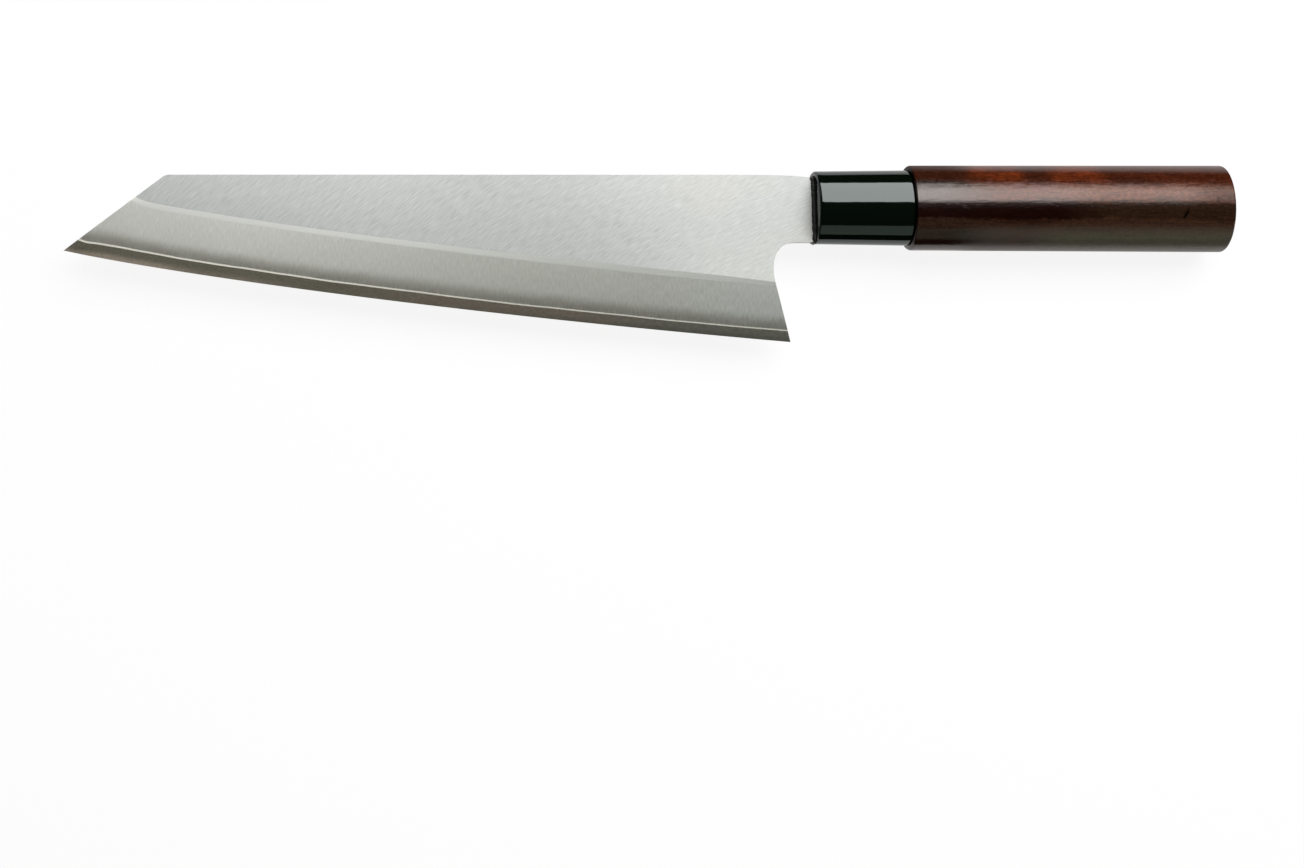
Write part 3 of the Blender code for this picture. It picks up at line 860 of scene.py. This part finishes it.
class Form(Board):
    """A Geometry Nodes tree with named inputs, baked to a plain mesh by bake()."""

    def __init__(self, name, sizes):
        super().__init__(bpy.data.node_groups.new(name, "GeometryNodeTree"))
        self.sizes = sizes
        self.keys = {}
        interface = self.tree.interface
        for size in sizes:
            socket = interface.new_socket(size, in_out="INPUT", socket_type="NodeSocketFloat")
            self.keys[size] = socket.identifier
        interface.new_socket("Geometry", in_out="OUTPUT", socket_type="NodeSocketGeometry")

    def size(self, name):
        return self.node("NodeGroupInput", out=name)

    def solid(self, operation, bodies, values=None):
        """An exact boolean, with all these bodies on its second input."""
        settings = {"operation": operation, "solver": "EXACT"}
        made = self.node("GeometryNodeMeshBoolean", settings, values)
        for body in bodies:
            self.plug(made.socket.node.inputs["Mesh 2"], body)
        return made

    def cut(self, body, *cutters):
        return self.solid("DIFFERENCE", cutters, {"Mesh 1": body})

    def join(self, *bodies):
        return self.solid("UNION", bodies)

    def oval(self, ends, heights, roundings=(0.0, 0.0), inset=0.0, broad_share=1.0):
        """A closed oval that tapers from its front end to its rear one, with rounded rims. The
        front rim's rounding shrinks to broad_share of itself on the broad sides."""
        start, end = ends
        front_height, rear_height = heights
        front_rounding, rear_rounding = roundings
        last = 2 * (RIM_STEPS + 2) + BODY_STEPS
        values = {"Vertices X": last + 1, "Vertices Y": OVAL_SIDES + 1}
        values.update({"Size X": float(last), "Size Y": 1.0})
        grid = self.node("GeometryNodeMeshGrid", values=values)
        place = self.node("GeometryNodeInputPosition")
        column = self.axis(place, "X") + last / 2
        turn = self.axis(place, "Y") * (-2 * math.pi)
        front_turn = self.clamp((column - 2) / RIM_STEPS) * (math.pi / 2)
        narrow_side = self.maths("POWER", self.maths("COSINE", turn), 2)
        front_rounding = front_rounding * (broad_share + narrow_side * (1 - broad_share))
        rear_turn = self.clamp((last - 2 - column) / RIM_STEPS) * (math.pi / 2)
        along = self.clamp((column - (2 + RIM_STEPS)) / BODY_STEPS)
        run_in = front_rounding * (1 - self.maths("COSINE", front_turn))
        run_out = rear_rounding * self.maths("COSINE", rear_turn)
        x = start + run_in + along * (end - start - front_rounding - rear_rounding) + run_out
        front_drop = front_rounding * (1 - self.maths("SINE", front_turn))
        rear_drop = rear_rounding * (1 - self.maths("SINE", rear_turn))
        face_drop = FACE_RING * (2 - self.clamp(column - 1) - self.clamp(last - 1 - column))
        drop = inset + front_drop + rear_drop + face_drop
        taper = (rear_height - front_height) * (x - start) / (end - start)
        half = (front_height + taper) * 0.5
        opened = self.clamp(column) * self.clamp(last - column)
        y = opened * (half - drop) * self.maths("COSINE", turn)
        z = opened * (half * HANDLE_FLATTENING - drop) * self.maths("SINE", turn)
        values = {"Geometry": grid, "Position": self.vector(X=x, Y=y, Z=z)}
        moved = self.node("GeometryNodeSetPosition", values=values)
        values = {"Geometry": moved, "Distance": 1e-6}
        return self.node("GeometryNodeMergeByDistance", values=values)

    def wedge(self, ends, heights, thicknesses):
        """A block that tapers from its front end to its rear one."""
        block = self.node("GeometryNodeMeshCube", values={"Size": (1.0, 1.0, 1.0)})
        place = self.node("GeometryNodeInputPosition")
        along, up, out = (self.axis(place, name) for name in "XYZ")
        along = along + 0.5
        placed = self.vector(
            X=ends[0] + (ends[1] - ends[0]) * along,
            Y=up * (heights[0] + (heights[1] - heights[0]) * along),
            Z=out * (thicknesses[0] + (thicknesses[1] - thicknesses[0]) * along),
        )
        return self.node("GeometryNodeSetPosition", values={"Geometry": block, "Position": placed})

    def bake(self, name, geometry, material):
        """Runs the tree on an empty mesh and returns its result as a plain mesh."""
        real = self.node("GeometryNodeRealizeInstances", values={"Geometry": geometry})
        values = {"Geometry": real, "Material": material}
        painted = self.node("GeometryNodeSetMaterial", values=values)
        self.node("NodeGroupOutput", values={"Geometry": painted})
        blank = bpy.data.objects.new(name + "_blank", bpy.data.meshes.new(name + "_blank"))
        scene.collection.objects.link(blank)
        modifier = blank.modifiers.new("form", "NODES")
        modifier.node_group = self.tree
        for size, value in self.sizes.items():
            modifier[self.keys[size]] = value
        ready = blank.evaluated_get(bpy.context.evaluated_depsgraph_get())
        mesh = bpy.data.meshes.new_from_object(ready)
        mesh.name = name
        blank.modifiers.remove(modifier)
        bpy.data.objects.remove(blank)
        mesh.shade_smooth()
        mesh.set_sharp_from_angle(angle=CREASE_ANGLE)
        return mesh


def tang_room(x, margin):
    """Full height and thickness of the tang at x, with a margin all round."""
    share = (x - SHOULDER_X) / (TANG_LENGTH - SHOULDER_X)
    height = blend(TANG_ROOT_HEIGHT, TANG_END_HEIGHT, share)
    thickness = blend(NECK_THICKNESS, TANG_END_THICKNESS, share)
    return height + 2 * margin, thickness + 2 * margin


black_gloss = Finish("black_gloss_plastic", {"IOR": 1.62, "Specular Tint": (0.92, 1.0, 0.98)})
gloss_place = black_gloss.object_place()
dust_values = {"Vector": gloss_place, "Scale": 300.0, "Randomness": 1.0}
dust_distance = black_gloss.node("ShaderNodeTexVoronoi", values=dust_values)
dust_pick = black_gloss.node("ShaderNodeTexVoronoi", values=dust_values, out="Color")
dust_pick = black_gloss.node("ShaderNodeSeparateColor", values={0: dust_pick}).rise(0.84, 0.85)
dust = (1 - dust_distance.rise(0.04, 0.09)) * dust_pick
gloss_colour = black_gloss.mix(dust, (0.0010, 0.0026, 0.0011), (0.05, 0.07, 0.06))
gloss_roughness = 0.045 + dust * 0.4 + black_gloss.noise(gloss_place, 900.0, 3.0) * 0.03
black_gloss.feed({"Base Color": gloss_colour, "Roughness": gloss_roughness})
black_gloss.relief(black_gloss.noise(gloss_place, 160.0, 2.0), 0.00003)

slot_height, slot_thickness = tang_room(0.0, FIT_GAP)
cap = Form(
    "ferrule_form",
    {
        "Length": FERRULE_LENGTH,
        "Front Height": FERRULE_FRONT_HEIGHT,
        "Rear Height": FERRULE_REAR_HEIGHT,
        "Front Rounding": FERRULE_FRONT_ROUNDING,
        "Rear Rounding": FERRULE_REAR_ROUNDING,
        "Front Wall": FERRULE_FRONT_WALL,
        "Side Wall": FERRULE_SIDE_WALL,
        "Slot Height": slot_height,
        "Slot Thickness": slot_thickness,
    },
)
cap_heights = cap.size("Front Height"), cap.size("Rear Height")
cap_roundings = cap.size("Front Rounding"), cap.size("Rear Rounding")
outside = cap.oval((0.0, cap.size("Length")), cap_heights, cap_roundings)
bore_ends = cap.size("Front Wall"), cap.size("Length") + cap.size("Front Wall")
bore = cap.oval(bore_ends, cap_heights, inset=cap.size("Side Wall"))
slot_ends = cap.size("Front Wall") * -1, cap.size("Front Wall") * 2
tang_slot = cap.wedge(slot_ends, [cap.size("Slot Height")] * 2, [cap.size("Slot Thickness")] * 2)
ferrule_mesh = cap.bake("ferrule_cap", cap.cut(outside, bore, tang_slot), black_gloss.material)
add_piece("ferrule_cap", ferrule_mesh, None, "ferrule")


# The handle's wood: one piece of dark red-brown timber, turned oval, a little fuller towards
# the butt, and lacquered. Its spigot is glued into the ferrule's bore, and its front lip stands
# proud of the ferrule all round.
WOOD_LENGTH = 0.1091
WOOD_LIP_HEIGHT = 0.0261
WOOD_BUTT_HEIGHT = 0.0279
WOOD_LIP_ROUNDING = 0.0012
WOOD_BUTT_ROUNDING = 0.0010
LIP_BROAD_SHARE = 0.4
BEDDING_WALL = 0.0006
BUTT_X = FERRULE_LENGTH + WOOD_LENGTH
NICK_X = 0.1215
NICK_DROP = 0.0029
NICK_LEAN = 0.5
NICK_HALF_WIDTH = 0.0006
NICK_HALF_LENGTH = 0.0017

# The band that lies under the soft box's highlight is the wood's red-brown with a painted highlight
# tint: near black at the front, painted redder and lighter towards the rear.
WOOD_AND_HIGHLIGHT_FRONT, WOOD_AND_HIGHLIGHT_RED = (0.0060, 0.0045, 0.0030), (0.080, 0.0160, 0.0045)
WOOD_AND_HIGHLIGHT_REAR, WOOD_AND_HIGHLIGHT_BUTT = (0.100, 0.0240, 0.0060), (0.065, 0.0175, 0.0060)
CROWN_RED, CROWN_GLOW = (0.026, 0.0068, 0.0030), (0.108, 0.0185, 0.0040)
HEART_DARK, HEART_BUTT = (0.0070, 0.0013, 0.0008), (0.0190, 0.0085, 0.0045)
LOW_FRONT_DEEP, LOW_FRONT = (0.0120, 0.0030, 0.0014), (0.0270, 0.0120, 0.0070)
LOW_MIDDLE = (0.0265, 0.0095, 0.0045)
LOW_REAR_DEEP, LOW_REAR = (0.0420, 0.0350, 0.0160), (0.0330, 0.0140, 0.0075)
FIBRE_DARK = (0.004, 0.0018, 0.0010)
LIP_PAINTED_SHADE = (0.002, 0.0010, 0.0008)
NICK_DARK = (0.0012, 0.0008, 0.0006)

gloss = {"IOR": 1.62, "Specular IOR Level": 0.66, "Specular Tint": (1.0, 0.90, 0.85)}
lacquered = Finish("lacquered_red_wood", gloss)
wood_place = lacquered.object_place()
across = lacquered.axis(wood_place, "Y") - handle_axis.y
along_wood = lacquered.axis(wood_place, "X") - KNIFE_PLACE.translation.x
left_side = lacquered.axis(wood_place, "Z").rise(handle_axis.z, handle_axis.z + 0.002)


def grain(length, width, detail, roughness=0.6):
    """A pattern drawn out along the handle."""
    values = {"Vector": wood_place, "Scale": (length, width, width)}
    stretched = lacquered.node("ShaderNodeMapping", {"vector_type": "TEXTURE"}, values)
    return lacquered.noise(stretched, 1.0, detail, roughness)


fibres = grain(0.0090, 0.0006, 4.0)
figure = grain(0.0300, 0.0045, 3.0)
mottle = grain(0.0026, 0.0010, 3.0)
flecks = grain(0.0011, 0.0007, 2.0)
pores = grain(0.0022, 0.0003, 2.0).rise(0.60, 0.72)

wander = (figure - 0.5) * 0.005 + (mottle - 0.5) * 0.003
near_butt = along_wood.rise(0.076, 0.098)
low_side = 1 - (across + wander).rise(-0.0053, -0.0036)
heart = 1 - (across + wander).rise(0.0003, 0.0026)
red_side = (across + wander).rise(0.0050, 0.0080)
glow_run = along_wood.rise(0.046, 0.053) - along_wood.rise(0.064, 0.069) * 0.9
glow_run = glow_run + along_wood.rise(0.073, 0.080) * 0.8 - along_wood.rise(0.090, 0.098) * 0.65
glow_patch = glow_run * (0.35 + grain(0.0100, 0.0030, 3.0).rise(0.30, 0.65) * 0.65)
glow_patch = glow_patch * (0.6 + mottle.rise(0.35, 0.65) * 0.4) * red_side
# Painted shade: the lip's face in the joint with the ferrule is painted near black, for the shadow
# in the joint and the black ferrule's reflection.
lip_painted_shade = 1 - along_wood.rise(FERRULE_LENGTH + 0.0002, FERRULE_LENGTH + 0.0005)
nick_y = across + NICK_DROP
nick_x = along_wood - NICK_X - nick_y * NICK_LEAN
nick = nick_x * nick_x / NICK_HALF_WIDTH**2 + nick_y * nick_y / NICK_HALF_LENGTH**2
nick = (1 - nick.rise(0.5, 1.2)) * left_side

# The band under the highlight: wood colour with a painted highlight tint.
wood_colour = lacquered.mix(along_wood.rise(0.038, 0.064), WOOD_AND_HIGHLIGHT_FRONT, WOOD_AND_HIGHLIGHT_RED)
wood_colour = lacquered.mix(along_wood.rise(0.070, 0.092), wood_colour, WOOD_AND_HIGHLIGHT_REAR)
wood_colour = lacquered.mix(along_wood.rise(0.118, 0.136), wood_colour, WOOD_AND_HIGHLIGHT_BUTT)
wood_colour = lacquered.mix(red_side, wood_colour, CROWN_RED)
wood_colour = lacquered.mix(glow_patch, wood_colour, CROWN_GLOW)
heart_colour = lacquered.mix(near_butt, HEART_DARK, HEART_BUTT)
wood_colour = lacquered.mix(heart, wood_colour, heart_colour)
low_red = lacquered.mix(across.rise(-0.0085, -0.0060), LOW_FRONT_DEEP, LOW_FRONT)
low_colour = lacquered.mix(along_wood.rise(0.045, 0.062), low_red, LOW_MIDDLE)
low_grey = lacquered.mix(across.rise(-0.0110, -0.0065), LOW_REAR_DEEP, LOW_REAR)
low_colour = lacquered.mix(along_wood.rise(0.064, 0.082), low_colour, low_grey)
wood_colour = lacquered.mix(low_side, wood_colour, low_colour)
dark_fibre = fibres.rise(0.50, 0.68) * 0.40 + pores * 0.35
wood_colour = lacquered.mix(dark_fibre, wood_colour, FIBRE_DARK)
# The lip's painted shade goes in here.
wood_colour = lacquered.mix(lip_painted_shade, wood_colour, LIP_PAINTED_SHADE)
wood_colour = lacquered.shade(wood_colour, 0.76 + flecks.rise(0.30, 0.70) * 0.48)
wood_colour = lacquered.mix(nick * 0.9, wood_colour, NICK_DARK)

duller_low = (1 - across.rise(-0.0090, -0.0045)) * along_wood.rise(0.040, 0.054)
duller = duller_low + across.rise(0.0085, 0.0110)
wood_roughness = 0.11 + fibres * 0.09 + duller * 0.25
lacquered.feed({"Base Color": wood_colour, "Roughness": wood_roughness})
grain_height = mottle * 0.45 + flecks * 0.10 + fibres * 0.40 + pores * -0.15
lacquered.relief(grain_height - nick * 0.8, 0.000033)

values = {"Base Color": wood_colour, "Roughness": 0.55, "Specular IOR Level": 0.0}
bare_wood = lacquered.node("ShaderNodeBsdfPrincipled", values=values)
worn_place = across + (fibres - 0.5) * 0.0024 + (mottle - 0.5) * 0.0030
rubbed_top = worn_place.rise(0.0040, 0.0076) - across.rise(0.0100, 0.0118)
held_side = across.rise(-0.0058, -0.0044) - across.rise(0.0090, 0.0110)
thinning = 0.08 + along_wood.rise(0.034, 0.062) * 0.26
thinning = thinning + along_wood.rise(0.078, 0.096) * 0.13 + along_wood.rise(0.118, 0.136) * 0.23
thinning = thinning + (1 - across.rise(0.0005, 0.0042)) * along_wood.rise(0.055, 0.095) * 0.12
thinning = thinning + (1 - across.rise(-0.0018, -0.0004)) * 0.25
low_rub = (1 - along_wood.rise(0.040, 0.056)) * across.rise(-0.0124, -0.0106) * 0.60
thin_lacquer = held_side * thinning + (1 - held_side) * low_rub
lacquer_left = (1 - thin_lacquer) * (1 - rubbed_top * 0.97) * (1 - nick * 0.8)
lacquer_left = lacquer_left + (mottle - 0.5) * 0.18 + (flecks - 0.5) * 0.20
lacquered.overlay(lacquered.clamp(1 - lacquer_left), bare_wood)

spigot_front = FERRULE_FRONT_WALL + FIT_GAP
spigot_share = spigot_front / FERRULE_LENGTH
hole_margin = BEDDING_WALL + 2 * FIT_GAP
hole_start = spigot_front - FIT_GAP
hole_end = TANG_LENGTH + hole_margin
hole_sizes = tang_room(hole_start, hole_margin) + tang_room(hole_end, hole_margin)
handle = Form(
    "wood_form",
    {
        "Start": FERRULE_LENGTH,
        "Butt": BUTT_X,
        "Lip Height": WOOD_LIP_HEIGHT,
        "Butt Height": WOOD_BUTT_HEIGHT,
        "Lip Rounding": WOOD_LIP_ROUNDING,
        "Butt Rounding": WOOD_BUTT_ROUNDING,
        "Spigot Start": spigot_front,
        "Spigot Front Height": blend(FERRULE_FRONT_HEIGHT, FERRULE_REAR_HEIGHT, spigot_share),
        "Spigot Rear Height": FERRULE_REAR_HEIGHT,
        "Spigot Inset": FERRULE_SIDE_WALL + FIT_GAP,
        "Hole Start": hole_start,
        "Hole End": hole_end,
        "Hole Start Height": hole_sizes[0],
        "Hole Start Thickness": hole_sizes[1],
        "Hole End Height": hole_sizes[2],
        "Hole End Thickness": hole_sizes[3],
    },
)
grip = handle.oval(
    [handle.size("Start"), handle.size("Butt")],
    [handle.size("Lip Height"), handle.size("Butt Height")],
    [handle.size("Lip Rounding"), handle.size("Butt Rounding")],
    broad_share=LIP_BROAD_SHARE,
)
spigot = handle.oval(
    [handle.size("Spigot Start"), handle.size("Start") + FIT_GAP],
    [handle.size("Spigot Front Height"), handle.size("Spigot Rear Height")],
    inset=handle.size("Spigot Inset"),
)
tang_hole = handle.wedge(
    [handle.size("Hole Start"), handle.size("Hole End")],
    [handle.size("Hole Start Height"), handle.size("Hole End Height")],
    [handle.size("Hole Start Thickness"), handle.size("Hole End Thickness")],
)
wood_body = handle.cut(handle.join(grip, spigot), tang_hole)
wood_mesh = handle.bake("oval_wood", wood_body, lacquered.material)
add_piece("oval_wood", wood_mesh, None, "handle_wood")
